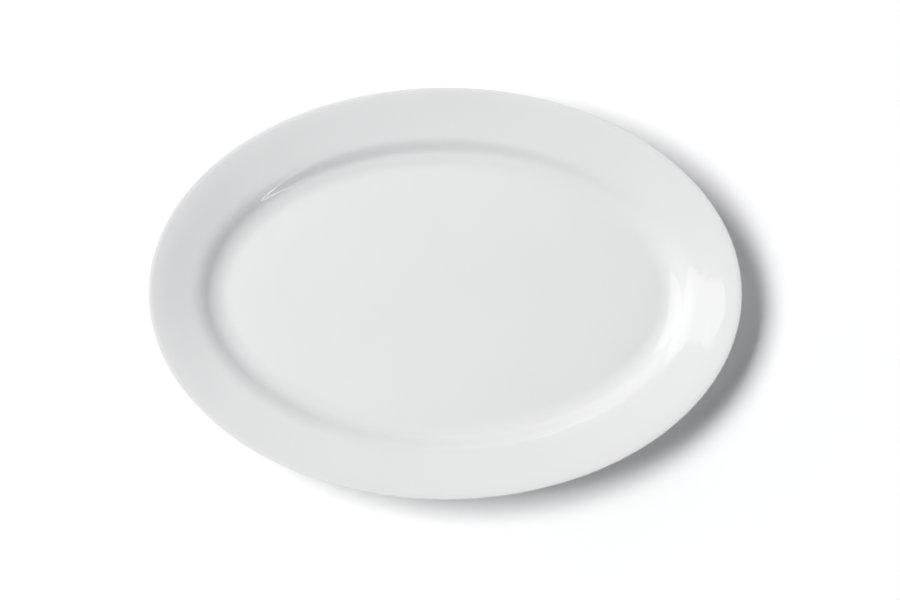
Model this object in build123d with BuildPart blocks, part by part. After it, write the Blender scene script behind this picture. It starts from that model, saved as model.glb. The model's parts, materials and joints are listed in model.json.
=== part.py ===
# Oval serving platter in white glazed porcelain.
# Millimetres, +Z up. The origin is under the middle of the platter, on the surface it stands on,
# and +X runs along its length.
import os
from math import cos, radians, sin, tan

from build123d import *

os.makedirs("parts", exist_ok=True)

# ---- overall sizes, over the glaze ----
length = 360.0
width = 250.0
height = 25.0

# ---- rim: a lip rolled over a tighter edge, then a gently sloping flange ----
lip_roll_radius = 2.6  # over the top
lip_edge_radius = 1.7  # round the outermost edge
lip_tuck_radius = 2.4  # back under the flange
lip_roll_end = 138.0  # degrees, counter-clockwise from straight inwards
lip_edge_end = 197.5
lip_slope = 9.0  # degrees, just inside the lip
crown_inset = 6.5  # from the edge to where the lip turns into the flange
crown_radius = 40.0
crown_clearance = 0.1  # least straight left between the lip's roll and the crown
flange_slope = 19.0  # degrees
shoulder_inset = 30.4  # from the edge to where the flange turns down into the well
shoulder_radius = 28.0
underside_slope = 20.5  # degrees, under the flange

# ---- well: a sloping wall, a cove and a flat floor ----
wall_slope = 37.0  # degrees
wall_thickness = 5.0
cove_radius = 19.0
floor_thickness = 5.0
under_shoulder_radius = 20.0

# ---- foot ring, formed in one with the body and ground flat after the firing ----
foot_height = 3.0  # from the table to the base inside the ring
foot_width = 4.0
foot_setback = 1.7  # from the underside of the wall to the ring
foot_outer_slope = 80.0  # degrees
foot_inner_slope = 52.0  # degrees
foot_edge_radius = 1.5
foot_root_radius = 1.5
ground_depth = 0.35  # clay taken off the rounded edge of the ring

# ---- glaze: one layer all over, wiped off the foot ring before the firing ----
glaze_thickness = 0.3
wiped_height = 1.0
floor_margin = 2.5  # flat floor that is swept with the ring


def drop(run, slope):
    """Fall of a straight stretch of the section over a horizontal run."""
    return run * tan(radians(slope))


def polar(centre, radius, angle):
    """The point of an arc at an angle, counter-clockwise from straight inwards."""
    return (centre[0] + radius * cos(radians(angle)), centre[1] + radius * sin(radians(angle)))


# ---- points of the section: x is the inset from the edge, y the height above the table ----
# The three arcs of the lip are tangent where they meet, so their centres lie in line with each joint.
roll_start = 90 - lip_slope
tuck_end = 270 - underside_slope
edge_centre = (
    lip_edge_radius,
    height - lip_roll_radius + (lip_roll_radius - lip_edge_radius) * sin(radians(lip_roll_end)),
)
roll_centre = polar(edge_centre, lip_edge_radius - lip_roll_radius, lip_roll_end)
tuck_centre = polar(edge_centre, lip_edge_radius - lip_tuck_radius, lip_edge_end)
lip_top = polar(roll_centre, lip_roll_radius, roll_start)
lip_under = polar(tuck_centre, lip_tuck_radius, tuck_end)

floor_level = foot_height + floor_thickness
crown_y = lip_top[1] - drop(crown_inset - lip_top[0], lip_slope)
crown_room = (crown_inset - lip_top[0]) / cos(radians(lip_slope)) - crown_clearance
crown_fillet = min(crown_radius, crown_room / tan(radians((flange_slope - lip_slope) / 2)))
shoulder_y = crown_y - drop(shoulder_inset - crown_inset, flange_slope)
cove_inset = shoulder_inset + (shoulder_y - floor_level) / tan(radians(wall_slope))

# the underside of the wall is parallel to its face, and meets the underside of the flange
wall_back = (
    shoulder_inset - wall_thickness * sin(radians(wall_slope)),
    shoulder_y - wall_thickness * cos(radians(wall_slope)),
)
under_shoulder_inset = (
    wall_back[1] + drop(wall_back[0], wall_slope) - lip_under[1] - drop(lip_under[0], underside_slope)
) / (tan(radians(wall_slope)) - tan(radians(underside_slope)))
under_shoulder_y = lip_under[1] - drop(under_shoulder_inset - lip_under[0], underside_slope)

# the ring is drawn to the full depth of its rounded edge, and the grinding is a cut at the table
foot_drawn = -ground_depth - glaze_thickness
foot_root_outer = wall_back[0] + (wall_back[1] - foot_height) / tan(radians(wall_slope)) + foot_setback
foot_outer = foot_root_outer + (foot_height - foot_drawn) / tan(radians(foot_outer_slope))
foot_inner = foot_outer + foot_width
foot_root_inner = foot_inner + (foot_height - foot_drawn) / tan(radians(foot_inner_slope))

# the flat floor starts past both the cove and the root of the foot ring
floor_inset = max(cove_inset + cove_radius * tan(radians(wall_slope / 2)), foot_root_inner) + floor_margin

# ---- sections ----
# The outline over the glaze, drawn as if the foot ring were glazed too and not yet ground.
with BuildSketch() as glazed_profile:
    with BuildLine():
        FilletPolyline(
            (2 * floor_inset, floor_level),
            (cove_inset, floor_level),
            (shoulder_inset, shoulder_y),
            (crown_inset, crown_y),
            lip_top,
            radius=[cove_radius, shoulder_radius, crown_fillet],
        )
        CenterArc(roll_centre, lip_roll_radius, roll_start, lip_roll_end - roll_start)
        CenterArc(edge_centre, lip_edge_radius, lip_roll_end, lip_edge_end - lip_roll_end)
        CenterArc(tuck_centre, lip_tuck_radius, lip_edge_end, tuck_end - lip_edge_end)
        FilletPolyline(
            lip_under,
            (under_shoulder_inset, under_shoulder_y),
            (foot_root_outer, foot_height),
            (foot_outer, foot_drawn),
            (foot_inner, foot_drawn),
            (foot_root_inner, foot_height),
            (2 * floor_inset, foot_height),
            radius=[
                under_shoulder_radius,
                foot_root_radius,
                foot_edge_radius,
                foot_edge_radius,
                foot_root_radius,
            ],
        )
        Line((2 * floor_inset, foot_height), (2 * floor_inset, floor_level))
    make_face()

# The fired clay under it stops one glaze thickness inside that outline.
with BuildSketch() as clay_profile:
    add(glazed_profile.sketch)
    offset(amount=-glaze_thickness)

with BuildSketch() as body_profile:
    add(clay_profile.sketch)
    with Locations((floor_inset, 0)):
        Rectangle(2 * floor_inset, 4 * height, align=(Align.MIN, Align.CENTER), mode=Mode.SUBTRACT)

# What lies between the two, above the wiped foot: the main coat, and the glaze inside the ring.
with BuildSketch() as glaze_profile:
    add(glazed_profile.sketch)
    add(clay_profile.sketch, mode=Mode.SUBTRACT)
    with Locations((floor_inset, 0)):
        Rectangle(2 * floor_inset, 4 * height, align=(Align.MIN, Align.CENTER), mode=Mode.SUBTRACT)
    with Locations((0, wiped_height)):
        Rectangle(4 * floor_inset, 2 * height, align=(Align.CENTER, Align.MAX), mode=Mode.SUBTRACT)

base_profile, coat_profile = glaze_profile.faces().sort_by(SortBy.AREA)

# ---- the rim's edge is an ellipse, and the section keeps square to it all the way round ----
with BuildSketch() as rim:
    Ellipse(length / 2, width / 2)
rim_path = rim.wire()
section_plane = Plane(origin=rim_path @ 0, x_dir=(-1, 0, 0), z_dir=rim_path % 0)


def floor_plate(ring, level):
    """The flat that closes a swept ring, bounded by the ring's inner edge at this level."""
    loops = ring.edges().filter_by_position(Axis.Z, level - 0.01, level + 0.01)
    return Face(Wire(loops.filter_by(lambda edge: edge.is_closed).sort_by(SortBy.LENGTH)[0]))


# ---- body: the fired clay, with its foot ring ----
with BuildPart() as porcelain_body:
    with BuildSketch(section_plane):
        add(body_profile.sketch)
    sweep(path=rim_path)
    clay_floor = floor_plate(porcelain_body, floor_level - glaze_thickness)
    extrude(clay_floor, amount=floor_thickness - 2 * glaze_thickness, dir=(0, 0, -1))
    split(bisect_by=Plane.XY, keep=Keep.TOP)
porcelain_body.part.label = "porcelain_body"
export_step(porcelain_body.part, "parts/porcelain_body.step")

# ---- main glaze coat: over the face and the lip, and down the underside to the foot ring ----
with BuildPart() as glaze_coat:
    with BuildSketch(section_plane):
        add(coat_profile)
    sweep(path=rim_path)
    extrude(floor_plate(glaze_coat, floor_level), amount=glaze_thickness, dir=(0, 0, -1))
glaze_coat.part.label = "glaze_coat"
export_step(glaze_coat.part, "parts/glaze_coat.step")

# ---- base glaze: the recess inside the foot ring ----
with BuildPart() as base_glaze:
    with BuildSketch(section_plane):
        add(base_profile)
    sweep(path=rim_path)
    extrude(floor_plate(base_glaze, foot_height), amount=glaze_thickness, dir=(0, 0, 1))
base_glaze.part.label = "base_glaze"
export_step(base_glaze.part, "parts/base_glaze.step")
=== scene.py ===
import json
from math import atan2, cos, hypot, pi, radians, sin, tan

import bpy
from mathutils import Matrix, Vector

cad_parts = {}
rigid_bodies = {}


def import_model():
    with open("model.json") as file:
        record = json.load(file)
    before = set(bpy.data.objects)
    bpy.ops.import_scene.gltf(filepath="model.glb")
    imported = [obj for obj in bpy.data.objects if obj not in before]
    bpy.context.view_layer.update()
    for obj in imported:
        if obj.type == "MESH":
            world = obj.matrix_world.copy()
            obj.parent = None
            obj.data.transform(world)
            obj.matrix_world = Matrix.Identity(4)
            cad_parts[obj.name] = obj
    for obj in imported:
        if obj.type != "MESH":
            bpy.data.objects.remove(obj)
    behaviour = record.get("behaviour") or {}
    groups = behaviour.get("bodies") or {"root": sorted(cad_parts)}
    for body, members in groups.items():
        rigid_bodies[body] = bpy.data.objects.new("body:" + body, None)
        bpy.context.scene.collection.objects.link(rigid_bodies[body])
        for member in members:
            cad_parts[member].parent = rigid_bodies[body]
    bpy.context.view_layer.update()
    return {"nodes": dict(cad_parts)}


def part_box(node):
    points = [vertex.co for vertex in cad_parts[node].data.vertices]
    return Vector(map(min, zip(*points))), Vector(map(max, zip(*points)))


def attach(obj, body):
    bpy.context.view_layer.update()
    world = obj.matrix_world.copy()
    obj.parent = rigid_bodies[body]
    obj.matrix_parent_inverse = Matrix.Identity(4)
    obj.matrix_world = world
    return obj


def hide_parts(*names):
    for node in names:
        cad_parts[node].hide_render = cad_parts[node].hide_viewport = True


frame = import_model()
scene = bpy.context.scene
print("frame loaded:", ", ".join(sorted(frame["nodes"])))

mm = 0.001
coatLow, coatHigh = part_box("glaze_coat")
length = coatHigh.x - coatLow.x
width = coatHigh.y - coatLow.y
height = coatHigh.z


def linear(hexColour):
    parts = [int(hexColour[i:i + 2], 16) / 255 for i in (1, 3, 5)]
    return [c / 12.92 if c <= 0.04045 else ((c + 0.055) / 1.055) ** 2.4 for c in parts] + [1.0]


def addNode(owner, kind, settings=None, links=None):
    tree = owner.node_tree
    node = tree.nodes.new(kind)
    for name, value in (settings or {}).items():
        if name in node.inputs:
            node.inputs[name].default_value = value
        else:
            setattr(node, name, value)
    for name, output in (links or {}).items():
        tree.links.new(output, node.inputs[name])
    return node


def newMaterial(name):
    material = bpy.data.materials.new(name)
    material.use_nodes = True
    material.node_tree.nodes.clear()
    return material


# the section is drawn flat, in millimetres and degrees: x is the inset from the edge, y the height
# above the table
section = {
    "rollRadius": 8.0,            # of the lip: over the top, round the edge and back under the flange
    "edgeRadius": 0.6,
    "tuckRadius": 2.4,
    "rollEnd": 96.0,              # where one of these arcs meets the next, from straight inwards
    "edgeEnd": 197.5,
    "lipSlope": 14.0,
    "crownInset": 7.6,            # where the lip turns into the flange
    "crownRadius": 80.0,
    "flangeSlope": 19.0,
    "shoulderInset": 30.4,        # where the flange turns down into the well
    "shoulderRadius": 31.0,
    "undersideSlope": 20.5,
    "wallSlope": 37.0,
    "wallThickness": 5.0,
    "coveRadius": 23.0,
    "floorLevel": 8.0,
    "underShoulderRadius": 20.0,
    "footHeight": 3.0,
    "footWidth": 4.0,
    "footSetback": 1.7,           # from the underside of the wall
    "footOuterSlope": 80.0,
    "footInnerSlope": 52.0,
    "footRadius": 1.5,
    "footMargin": 10.0,           # flat drawn past the foot, under the floor
    "groundDepth": 0.35,          # clay taken off the foot
    "glaze": 0.3,
    "wiped": 1.0,                 # height of bare clay above the table
    "arcStep": 3.0,               # between rings on a curve
    "arcChord": 0.08,             # and the least between them on the lip
    "ringSpacing": 2.0,           # between rings on a straight stretch
    "floorRings": 5,
    "segments": 288,              # round the edge
    "crease": 35,                 # a turn sharper than this stays an edge
}


def polar(centre, radius, angle):
    return Vector((centre[0] + radius * cos(radians(angle)), centre[1] + radius * sin(radians(angle))))


def arcPoints(centre, radius, start, end):
    turn = radians(abs(end - start))
    steps = max(2, round(min(turn / radians(section["arcStep"]), turn * radius / section["arcChord"])))
    return [polar(centre, radius, start + (end - start) * i / steps) for i in range(steps + 1)]


# corners are (x, y, radius), and each is rounded to its radius
def roundedPath(corners):
    points = []

    def straightTo(target):
        if points:
            gap = target - points[-1]
            steps = max(1, round(gap.length / section["ringSpacing"]))
            for i in range(1, steps + 1):
                points.append(points[-1] + gap / steps)
        else:
            points.append(target)

    for index, (x, y, radius) in enumerate(corners):
        corner = Vector((x, y))
        if radius == 0:
            straightTo(corner)
            continue
        before = (Vector(corners[index - 1][:2]) - corner).normalized()
        after = (Vector(corners[index + 1][:2]) - corner).normalized()
        turn = pi - before.angle(after)
        reach = radius * tan(turn / 2)
        entry = corner + before * reach
        leave = corner + after * reach
        centre = corner + (before + after).normalized() * (radius / cos(turn / 2))
        straightTo(entry)
        start = atan2(entry.y - centre.y, entry.x - centre.x)
        sweep = atan2(leave.y - centre.y, leave.x - centre.x) - start
        sweep = (sweep + pi) % (2 * pi) - pi
        steps = max(2, round(abs(sweep) / radians(section["arcStep"])))
        for i in range(1, steps + 1):
            angle = start + sweep * i / steps
            points.append(centre + Vector((cos(angle), sin(angle))) * radius)
    return points


def drop(run, slope):
    return run * tan(radians(slope))


def sectionPaths():
    s = section
    top = height / mm
    edgeRise = (s["rollRadius"] - s["edgeRadius"]) * sin(radians(s["rollEnd"]))
    edgeCentre = (s["edgeRadius"], top - s["rollRadius"] + edgeRise)
    rollCentre = polar(edgeCentre, s["edgeRadius"] - s["rollRadius"], s["rollEnd"])
    tuckCentre = polar(edgeCentre, s["edgeRadius"] - s["tuckRadius"], s["edgeEnd"])
    rollStart = 90 - s["lipSlope"]
    tuckEnd = 270 - s["undersideSlope"]
    lipTop = polar(rollCentre, s["rollRadius"], rollStart)
    lipUnder = polar(tuckCentre, s["tuckRadius"], tuckEnd)

    crownY = lipTop.y - drop(s["crownInset"] - lipTop.x, s["lipSlope"])
    shoulderY = crownY - drop(s["shoulderInset"] - s["crownInset"], s["flangeSlope"])
    coveInset = s["shoulderInset"] + (shoulderY - s["floorLevel"]) / tan(radians(s["wallSlope"]))
    backX = s["shoulderInset"] - s["wallThickness"] * sin(radians(s["wallSlope"]))
    backY = shoulderY - s["wallThickness"] * cos(radians(s["wallSlope"]))
    underX = (backY + drop(backX, s["wallSlope"]) - lipUnder.y - drop(lipUnder.x, s["undersideSlope"])) / (
        tan(radians(s["wallSlope"])) - tan(radians(s["undersideSlope"])))
    underY = lipUnder.y - drop(underX - lipUnder.x, s["undersideSlope"])
    footLow = -s["groundDepth"] - s["glaze"]
    rootOuter = backX + (backY - s["footHeight"]) / tan(radians(s["wallSlope"])) + s["footSetback"]
    footOuter = rootOuter + (s["footHeight"] - footLow) / tan(radians(s["footOuterSlope"]))
    footInner = footOuter + s["footWidth"]
    rootInner = footInner + (s["footHeight"] - footLow) / tan(radians(s["footInnerSlope"]))
    flatInset = rootInner + s["footMargin"]

    face = arcPoints(edgeCentre, s["edgeRadius"], 180, s["rollEnd"])
    face += arcPoints(rollCentre, s["rollRadius"], s["rollEnd"], rollStart)[1:]
    face += roundedPath([
        (lipTop.x, lipTop.y, 0),
        (s["crownInset"], crownY, s["crownRadius"]),
        (s["shoulderInset"], shoulderY, s["shoulderRadius"]),
        (coveInset, s["floorLevel"], s["coveRadius"]),
        (flatInset, s["floorLevel"], 0)])[1:]
    back = arcPoints(edgeCentre, s["edgeRadius"], 180, s["edgeEnd"])
    back += arcPoints(tuckCentre, s["tuckRadius"], s["edgeEnd"], tuckEnd)[1:]
    back += roundedPath([
        (lipUnder.x, lipUnder.y, 0),
        (underX, underY, s["underShoulderRadius"]),
        (rootOuter, s["footHeight"], s["footRadius"]),
        (footOuter, footLow, s["footRadius"]),
        (footInner, footLow, s["footRadius"]),
        (rootInner, s["footHeight"], s["footRadius"]),
        (flatInset, s["footHeight"], 0)])[1:]
    return face, back


def deselect():
    if bpy.context.object and bpy.context.object.mode == "EDIT":
        bpy.ops.object.mode_set(mode="OBJECT")
    bpy.ops.object.select_all(action="DESELECT")


def pick(piece):
    deselect()
    piece.select_set(True)
    bpy.context.view_layer.objects.active = piece


def rename(piece, name):
    piece.name = name
    piece.data.name = name


def copyOf(piece, name):
    pick(piece)
    bpy.ops.object.duplicate()
    copy = bpy.context.object
    rename(copy, name)
    return copy


def selectFaces(piece, wanted):
    bpy.ops.object.mode_set(mode="OBJECT")
    for edge in piece.data.edges:
        edge.select = False
    for vertex in piece.data.vertices:
        vertex.select = False
    for face in piece.data.polygons:
        face.select = wanted(face)
    bpy.ops.object.mode_set(mode="EDIT")


# carries the selected flat inwards ring by ring, then closes it at the middle
def insetAlong(path, start, facing):
    before = start
    for point in path:
        bpy.ops.mesh.inset(thickness=(point.x - before.x) * mm, depth=(point.y - before.y) * facing * mm,
                           use_even_offset=True)
        before = point
    for i in range(section["floorRings"]):
        share = 1 - 1 / (section["floorRings"] + 1 - i)
        bpy.ops.mesh.extrude_region()
        bpy.ops.transform.resize(value=(share, share, 1))
    bpy.ops.mesh.merge(type="CENTER")


def buildShell():
    face, back = sectionPaths()
    band = section["edgeRadius"] * radians(section["arcStep"]) / 2
    edgeLevel = face[0].y
    deselect()
    bpy.ops.mesh.primitive_cylinder_add(vertices=section["segments"], radius=1, depth=band * mm,
                                        end_fill_type="NGON", location=(0, 0, edgeLevel * mm))
    shell = bpy.context.object
    bpy.ops.object.transform_apply(location=True)
    bpy.ops.object.mode_set(mode="EDIT")
    bpy.ops.mesh.select_mode(type="FACE")
    bpy.ops.mesh.select_all(action="SELECT")
    bpy.ops.transform.resize(value=(length / 2, width / 2, 1))
    selectFaces(shell, lambda f: f.normal.z > 0.9)
    insetAlong(face[1:], Vector((0, edgeLevel + band / 2)), 1)
    # the bottom of the cylinder is the only face left with more than four corners
    selectFaces(shell, lambda f: len(f.vertices) > 4)
    insetAlong(back[1:], Vector((0, edgeLevel - band / 2)), -1)
    bpy.ops.mesh.select_all(action="SELECT")
    bpy.ops.mesh.normals_make_consistent(inside=False)
    bpy.ops.object.mode_set(mode="OBJECT")
    return shell


def smooth(piece):
    pick(piece)
    bpy.ops.object.shade_smooth_by_angle(angle=radians(section["crease"]))


def cutBelow(piece, level):
    pick(piece)
    bpy.ops.object.mode_set(mode="EDIT")
    bpy.ops.mesh.select_all(action="SELECT")
    bpy.ops.mesh.bisect(plane_co=(0, 0, level), plane_no=(0, 0, 1), threshold=1e-7, clear_inner=True)
    bpy.ops.object.mode_set(mode="OBJECT")


shell = buildShell()
print("shell:", len(shell.data.polygons), "faces")

# the fired clay lies one glaze thickness inside the shell, and its foot is ground flat at the table
body = copyOf(shell, "firedBody")
bpy.ops.object.mode_set(mode="EDIT")
bpy.ops.mesh.select_all(action="SELECT")
bpy.ops.transform.shrink_fatten(value=-section["glaze"] * mm, use_even_offset=True)
cutBelow(body, 0)
bpy.ops.object.mode_set(mode="EDIT")
bpy.ops.mesh.select_mode(type="EDGE")
bpy.ops.mesh.select_all(action="DESELECT")
bpy.ops.mesh.select_non_manifold()
bpy.ops.mesh.bridge_edge_loops()
bpy.ops.mesh.select_all(action="SELECT")
bpy.ops.mesh.normals_make_consistent(inside=False)
bpy.ops.object.mode_set(mode="OBJECT")
smooth(body)
print("fired body:", len(body.data.polygons), "faces", [round(v / mm, 2) for v in body.dimensions])

# the glaze stops where the foot was wiped, which parts it into the main coat and the base
cutBelow(shell, section["wiped"] * mm)
pick(shell)
bpy.ops.object.mode_set(mode="EDIT")
bpy.ops.mesh.separate(type="LOOSE")
bpy.ops.object.mode_set(mode="OBJECT")
coat, base = sorted(bpy.context.selected_objects, key=lambda piece: -piece.dimensions.z)
rename(coat, "mainGlaze")
rename(base, "baseGlaze")
for piece in (coat, base):
    pick(piece)
    wall = piece.modifiers.new("glazeThickness", "SOLIDIFY")
    wall.thickness = section["glaze"] * mm
    wall.offset = -1
    wall.use_even_offset = True
    bpy.ops.object.modifier_apply(modifier=wall.name)
    smooth(piece)
    print(piece.name, len(piece.data.polygons), "faces", [round(v / mm, 2) for v in piece.dimensions])


glazeLook = {
    "deep": "#E3E3E3",
    "pale": "#E7E7E7",
    "toneSize": 60.0 * mm,      # between deeper and paler places
    "roughness": (0.01, 0.03),
    "hazeSize": 12.0 * mm,      # between clearer and duller places
    "peelSize": 5.0 * mm,       # between the small waves of a dipped glaze
    "peelDepth": 0.06 * mm,
    "sagSize": 14.0 * mm,       # between the long waves
    "sagDepth": 0.15 * mm,
    "ior": 1.5,
}


# feldspathic porcelain under a clear glaze, dipped and fired to a glass: an even white, mirror-smooth, with
# waves too shallow to see but for the way they fray the edges of a reflection
def glazedPorcelain():
    material = newMaterial("glazedPorcelain")
    place = addNode(material, "ShaderNodeTexCoord").outputs["Object"]
    tone = addNode(material, "ShaderNodeTexNoise", {"Scale": 1 / glazeLook["toneSize"], "Detail": 2.0},
                   {"Vector": place})
    tint = addNode(material, "ShaderNodeMix", {"data_type": "RGBA"}, {"Factor": tone.outputs["Fac"]})
    tint.inputs["A"].default_value = linear(glazeLook["deep"])
    tint.inputs["B"].default_value = linear(glazeLook["pale"])
    haze = addNode(material, "ShaderNodeTexNoise", {"Scale": 1 / glazeLook["hazeSize"], "Detail": 3.0},
                   {"Vector": place})
    smoothest, dullest = glazeLook["roughness"]
    gloss = addNode(material, "ShaderNodeMapRange", {"To Min": smoothest, "To Max": dullest},
                    {"Value": haze.outputs["Fac"]})
    peel = addNode(material, "ShaderNodeTexNoise", {"Scale": 1 / glazeLook["peelSize"], "Detail": 1.0},
                   {"Vector": place})
    sag = addNode(material, "ShaderNodeTexNoise", {"Scale": 1 / glazeLook["sagSize"], "Detail": 0.0},
                  {"Vector": place})
    sagBump = addNode(material, "ShaderNodeBump", {"Distance": glazeLook["sagDepth"]},
                      {"Height": sag.outputs["Fac"]})
    peelBump = addNode(material, "ShaderNodeBump", {"Distance": glazeLook["peelDepth"]},
                       {"Height": peel.outputs["Fac"], "Normal": sagBump.outputs["Normal"]})
    skin = addNode(material, "ShaderNodeBsdfPrincipled", {"IOR": glazeLook["ior"]},
                   {"Base Color": tint.outputs["Result"], "Roughness": gloss.outputs["Result"],
                    "Normal": peelBump.outputs["Normal"]})
    addNode(material, "ShaderNodeOutputMaterial", links={"Surface": skin.outputs["BSDF"]})
    return material


footLook = {
    "clean": "#E7E3DA",
    "rubbed": "#CFCBC4",
    "rubSize": 14.0 * mm,       # between rubbed places
    "rubRange": (0.5, 0.7),
    "grainSize": 0.6 * mm,
    "grainDepth": 0.05 * mm,
    "roughness": 0.85,
    "ior": 1.5,
}


# the same clay left bare: a ground foot of fine dry bisque, matt, warmer, and greyed where it rubs
def bareFoot():
    material = newMaterial("groundBisque")
    place = addNode(material, "ShaderNodeTexCoord").outputs["Object"]
    grain = addNode(material, "ShaderNodeTexNoise", {"Scale": 1 / footLook["grainSize"], "Detail": 4.0},
                    {"Vector": place})
    rub = addNode(material, "ShaderNodeTexNoise", {"Scale": 1 / footLook["rubSize"], "Detail": 5.0},
                  {"Vector": place})
    unrubbed, rubbedThrough = footLook["rubRange"]
    worn = addNode(material, "ShaderNodeMapRange", {"From Min": unrubbed, "From Max": rubbedThrough},
                   {"Value": rub.outputs["Fac"]})
    tint = addNode(material, "ShaderNodeMix", {"data_type": "RGBA"}, {"Factor": worn.outputs["Result"]})
    tint.inputs["A"].default_value = linear(footLook["clean"])
    tint.inputs["B"].default_value = linear(footLook["rubbed"])
    bump = addNode(material, "ShaderNodeBump", {"Distance": footLook["grainDepth"]},
                   {"Height": grain.outputs["Fac"]})
    skin = addNode(material, "ShaderNodeBsdfPrincipled",
                   {"IOR": footLook["ior"], "Roughness": footLook["roughness"]},
                   {"Base Color": tint.outputs["Result"], "Normal": bump.outputs["Normal"]})
    addNode(material, "ShaderNodeOutputMaterial", links={"Surface": skin.outputs["BSDF"]})
    return material


glazed = glazedPorcelain()
bisque = bareFoot()
for piece, material, node, slot in ((body, bisque, "porcelain_body", "porcelain"),
                                    (coat, glazed, "glaze_coat", "glaze"),
                                    (base, glazed, "base_glaze", "glaze")):
    piece.data.materials.append(material)
    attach(piece, "root")
    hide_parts(node)
print("materials on:", body.name, coat.name, base.name)


paperLook = {
    "colour": "#FFFFFF",
    "size": 8,                     # metres
    "fibreSize": 2.5 * mm,
    "fibreDepth": 0.01 * mm,
    "paintedGlowNear": 0.004,             # painted glow beside the platter, kept faint so the shadow stays dark
    "paintedGlowFar": 0.055,              # stronger painted glow past the shadow, where the sheet clips to a clean white
    "paintedGlowReach": (0.19, 0.30),     # metres from the middle, over which the painted glow grows
}


# matt white paper, with a painted glow that only the camera and reflections see: faint beside the platter
# and stronger past the shadow, so the backdrop clips to white further out. It lights nothing and leaves the
# shadow nearly as it is
def paperSheet():
    material = newMaterial("whitePaper")
    place = addNode(material, "ShaderNodeTexCoord").outputs["Object"]
    fibre = addNode(material, "ShaderNodeTexNoise", {"Scale": 1 / paperLook["fibreSize"], "Detail": 3.0},
                    {"Vector": place})
    bump = addNode(material, "ShaderNodeBump", {"Distance": paperLook["fibreDepth"]},
                   {"Height": fibre.outputs["Fac"]})
    paper = addNode(material, "ShaderNodeBsdfDiffuse", {"Color": linear(paperLook["colour"])},
                    {"Normal": bump.outputs["Normal"]})
    path = addNode(material, "ShaderNodeLightPath")
    seen = addNode(material, "ShaderNodeMath", {"operation": "ADD"})
    seenAll = addNode(material, "ShaderNodeMath", {"operation": "ADD", "use_clamp": True})
    lift = addNode(material, "ShaderNodeMath", {"operation": "MULTIPLY"})
    tree = material.node_tree
    tree.links.new(path.outputs["Is Camera Ray"], seen.inputs[0])
    tree.links.new(path.outputs["Is Glossy Ray"], seen.inputs[1])
    tree.links.new(seen.outputs[0], seenAll.inputs[0])
    tree.links.new(path.outputs["Is Transmission Ray"], seenAll.inputs[1])
    tree.links.new(seenAll.outputs[0], lift.inputs[0])
    # painted glow, growing with the distance from the middle of the table
    away = addNode(material, "ShaderNodeVectorMath", {"operation": "LENGTH"})
    tree.links.new(place, away.inputs[0])
    near, far = paperLook["paintedGlowReach"]
    amount = addNode(material, "ShaderNodeMapRange",
                     {"From Min": near, "From Max": far, "To Min": paperLook["paintedGlowNear"],
                      "To Max": paperLook["paintedGlowFar"]}, {"Value": away.outputs["Value"]})
    tree.links.new(amount.outputs["Result"], lift.inputs[1])
    glow = addNode(material, "ShaderNodeEmission", {"Color": (1, 1, 1, 1)}, {"Strength": lift.outputs[0]})
    both = addNode(material, "ShaderNodeAddShader")
    tree.links.new(paper.outputs["BSDF"], both.inputs[0])
    tree.links.new(glow.outputs["Emission"], both.inputs[1])
    addNode(material, "ShaderNodeOutputMaterial", links={"Surface": both.outputs["Shader"]})
    return material


deselect()
bpy.ops.mesh.primitive_plane_add(size=paperLook["size"], location=(0, 0, 0))
table = bpy.context.object
rename(table, "table")
table.data.materials.append(paperSheet())
print("table:", paperLook["size"], "m square")

# distances, aims and sizes (width by height) are in metres, angles in degrees
# a lamp's level is the brightness it gives a white card facing it at the platter
lamps = {
    "keySoftbox": {"zenith": 41, "azimuth": 163.5, "distance": 4.2, "size": (3.08, 1.54), "level": 1.25,
                   "colour": "#FFFFFF"},
    "rightFill": {"zenith": 74, "azimuth": -10, "distance": 2.0, "size": (2.2, 0.55), "level": 0.2,
                  "colour": "#F8FAFF"},
    "cornerFill": {"zenith": 74, "azimuth": 310, "distance": 2.0, "size": (1.4, 0.55), "level": 0.1,
                   "colour": "#F8FAFF"},
    "backFill": {"zenith": 60, "azimuth": 90, "distance": 2.0, "size": (1.4, 0.8), "level": 0.14,
                 "colour": "#F8FAFF"},
    "frontFill": {"zenith": 60, "azimuth": 270, "distance": 2.0, "size": (1.4, 0.8), "level": 0.1,
                  "colour": "#F8FAFF"},
}
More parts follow.
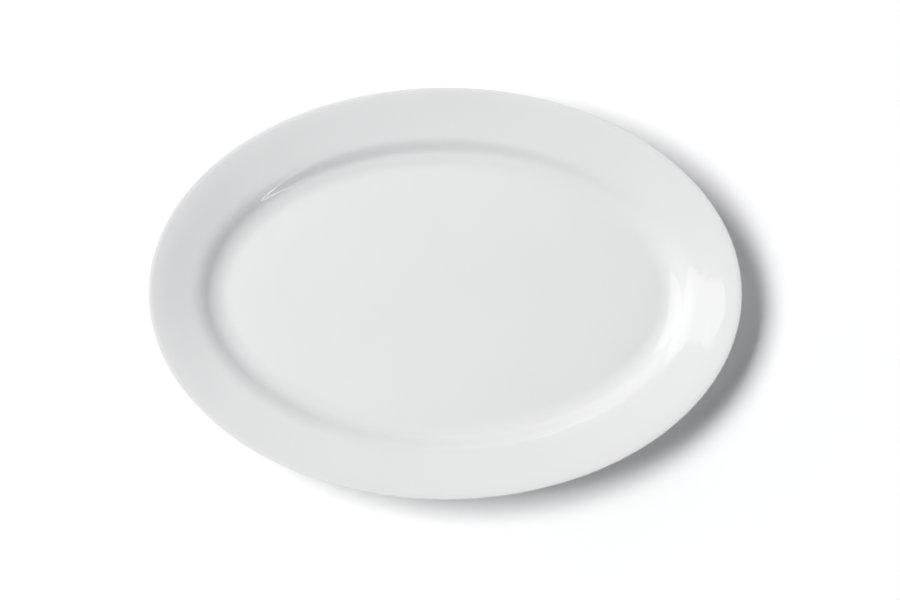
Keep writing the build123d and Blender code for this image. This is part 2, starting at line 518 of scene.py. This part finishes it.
# boxes that are seen in the glaze but light nothing: each is an oval, as bright as "hot" at its hot spot and
# falling to "edge", with its centre and reach in shares of the box
mirrored = {
    "westBox": {"aim": (0.15, 0, 0.015), "zenith": 48, "azimuth": 162.6, "distance": 1.5,
                "size": (1.24, 0.99), "roll": 44, "edge": 1.7, "hot": 1.9, "hotCentre": (0.5, 0.53),
                "hotReach": (0.5, 0.5)},
    "southBar": {"aim": (-0.09, 0.055, 0.012), "zenith": 56, "azimuth": -58.5, "distance": 1.5,
                 "size": (0.034, 0.75), "roll": 29, "edge": 0.4, "hot": 7.0, "hotCentre": (0.5, 0.2),
                 "hotReach": (1, 0.85)},
    "northBar": {"aim": (0.02, -0.08, 0.012), "zenith": 56, "azimuth": 103, "distance": 2.0,
                 "size": (1.7, 0.09), "roll": 0, "edge": 0.8, "hot": 2.4, "hotCentre": (0.5, 0.5),
                 "hotReach": (0.6, 1)},
    "northPanel": {"aim": (0.02, -0.08, 0.012), "zenith": 64, "azimuth": 103, "distance": 2.0,
                   "size": (2.2, 0.5), "roll": 0, "edge": 0.3, "hot": 0.5, "hotCentre": (0.5, 0.5),
                   "hotReach": (0.6, 1)},
    "southPanel": {"aim": (0, 0.1, 0.02), "zenith": 41, "azimuth": -80, "distance": 2.0,
                   "size": (2.0, 1.2), "roll": 0, "edge": 0.1, "hot": 1.3, "hotCentre": (0.5, 0.5),
                   "hotReach": (0.5, 0.5)},
    "eastPanel": {"aim": (-0.1, -0.06, 0.02), "zenith": 40, "azimuth": 55, "distance": 2.0,
                  "size": (1.8, 1.2), "roll": 0, "edge": 0.1, "hot": 0.75, "hotCentre": (0.5, 0.5),
                  "hotReach": (0.5, 0.5)},
}
air = {"colour": "#FFFFFF", "strength": 0.01}

world = bpy.data.worlds.new("studioAir")
world.use_nodes = True
background = world.node_tree.nodes["Background"]
background.inputs["Color"].default_value = linear(air["colour"])
background.inputs["Strength"].default_value = air["strength"]
scene.world = world


def around(zenith, azimuth, distance):
    tilt = radians(zenith)
    turn = radians(azimuth)
    return Vector((sin(tilt) * cos(turn), sin(tilt) * sin(turn), cos(tilt))) * distance


def addLamp(name, settings):
    deselect()
    away = around(settings["zenith"], settings["azimuth"], settings["distance"])
    aim = Vector(settings.get("aim", (0, 0, 0)))
    roll = Matrix.Rotation(radians(settings.get("roll", 0)), 3, "Z")
    turn = away.to_track_quat("Z", "Y").to_matrix() @ roll
    bpy.ops.object.light_add(type="AREA", location=aim + away, rotation=turn.to_euler())
    lamp = bpy.context.object
    lamp.name = name
    lamp.data.name = name
    lamp.data.shape = "RECTANGLE"
    lamp.data.size, lamp.data.size_y = settings["size"]
    return lamp


# brightest at the hot spot and falling to the edge of an oval
def shapeGlow(lamp, settings):
    lamp.use_nodes = True
    lamp.node_tree.nodes.clear()
    across = addNode(lamp, "ShaderNodeNewGeometry").outputs["Parametric"]
    offset = addNode(lamp, "ShaderNodeVectorMath", {"operation": "SUBTRACT"})
    offset.inputs[1].default_value = (*settings["hotCentre"], 0)
    share = addNode(lamp, "ShaderNodeVectorMath", {"operation": "DIVIDE"})
    share.inputs[1].default_value = (*settings["hotReach"], 1000)   # the third part counts for nothing
    far = addNode(lamp, "ShaderNodeVectorMath", {"operation": "LENGTH"})
    lamp.node_tree.links.new(across, offset.inputs[0])
    lamp.node_tree.links.new(offset.outputs["Vector"], share.inputs[0])
    lamp.node_tree.links.new(share.outputs["Vector"], far.inputs[0])
    fall = addNode(lamp, "ShaderNodeMapRange", {"interpolation_type": "SMOOTHSTEP"},
                   {"Value": far.outputs["Value"]})
    fall.inputs["To Min"].default_value = settings["hot"]
    fall.inputs["To Max"].default_value = settings["edge"]
    oval = addNode(lamp, "ShaderNodeMath", {"operation": "LESS_THAN"})
    oval.inputs[1].default_value = 1
    cut = addNode(lamp, "ShaderNodeMath", {"operation": "MULTIPLY"})
    lamp.node_tree.links.new(far.outputs["Value"], oval.inputs[0])
    lamp.node_tree.links.new(fall.outputs["Result"], cut.inputs[0])
    lamp.node_tree.links.new(oval.outputs["Value"], cut.inputs[1])
    glow = addNode(lamp, "ShaderNodeEmission", links={"Strength": cut.outputs["Value"]})
    addNode(lamp, "ShaderNodeOutputLight", links={"Surface": glow.outputs["Emission"]})


for name, settings in lamps.items():
    lamp = addLamp(name, settings)
    lamp.data.energy = settings["level"] * (pi * settings["distance"]) ** 2
    lamp.data.color = linear(settings["colour"])[:3]
    lamp.visible_glossy = False
for name, settings in mirrored.items():
    lamp = addLamp(name, settings)
    lamp.data.energy = pi * lamp.data.size * lamp.data.size_y
    lamp.visible_diffuse = False
    shapeGlow(lamp.data, settings)
print("lamps:", ", ".join([*lamps, *mirrored]))

view = {
    "distance": 1.5,
    "lens": 99.04,
    "sensor": 36,
    "southTilt": 3.6,    # degrees from straight above
    "westTilt": 2.0,
    "aimPoint": (0.0024, -0.0045, 0.0232),
}
deselect()
away = Vector((-tan(radians(view["westTilt"])), -tan(radians(view["southTilt"])), 1)).normalized()
bpy.ops.object.camera_add(location=Vector(view["aimPoint"]) + away * view["distance"])
camera = bpy.context.object
camera.name = "tableCamera"
camera.data.lens = view["lens"]
camera.data.sensor_width = view["sensor"]
right = Vector((0, 1, 0)).cross(away).normalized()
up = away.cross(right)
camera.rotation_euler = Matrix((right, up, away)).transposed().to_euler()
scene.camera = camera
scene.view_settings.view_transform = "Standard"
print("camera:", view["distance"], "m away")
